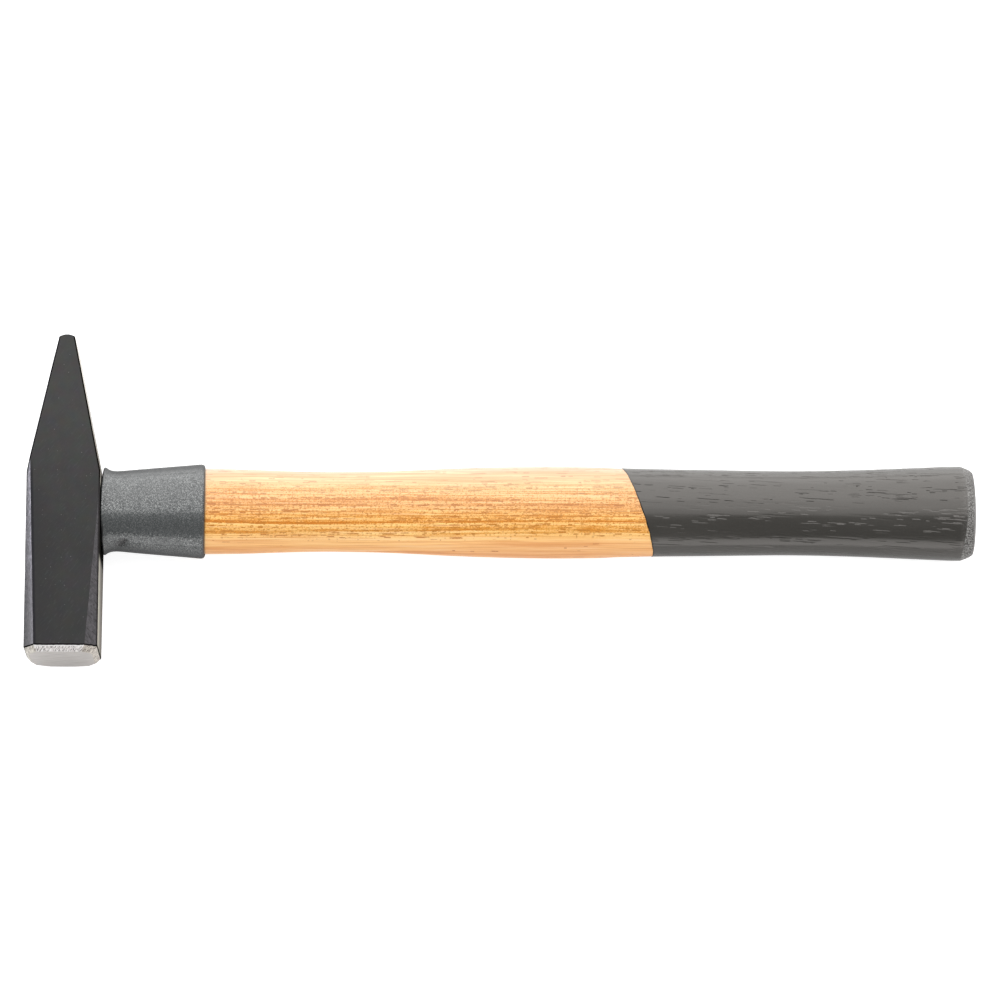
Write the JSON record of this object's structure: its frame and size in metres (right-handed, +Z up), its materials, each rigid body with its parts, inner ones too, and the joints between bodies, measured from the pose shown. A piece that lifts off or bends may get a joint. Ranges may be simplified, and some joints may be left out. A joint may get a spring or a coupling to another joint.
{
  "type": "cross-pein hammer",
  "caption": "Light cross-pein bench hammer: square steel head with a ground striking face and wedge pein, oval hardwood handle, steel neck sleeve and dipped grip.",
  "frame": {"origin": "on the lower cheek of the head, straight under the centre of the eye; the eye's centre is 11.7 mm above it", "axes": "the hammer lies on one cheek; +X along the handle from the head to the butt, +Y along the head from the striking face to the pein, +Z up, out of the upper cheek"},
  "size_m": [0.3, 0.1031, 0.0234],
  "materials": {
    "head_steel": "black oxide forged steel, ground bright at the striking face",
    "hickory": "clear lacquered hickory, fine straight grain",
    "wedge_wood": "bare hardwood end grain",
    "bright_steel": "drawn steel",
    "sleeve_paint": "grey metallic paint with fine sparkle, satin",
    "grip_lacquer": "dipped grey lacquer, semi-gloss, wood pores showing through"
  },
  "bodies": {
    "root": {"head": "head_steel", "handle": "hickory", "wood_wedge": "wedge_wood", "ring_wedge": "bright_steel", "neck_sleeve": "sleeve_paint", "grip_coat": "grip_lacquer"}
  },
  "joints": []
}
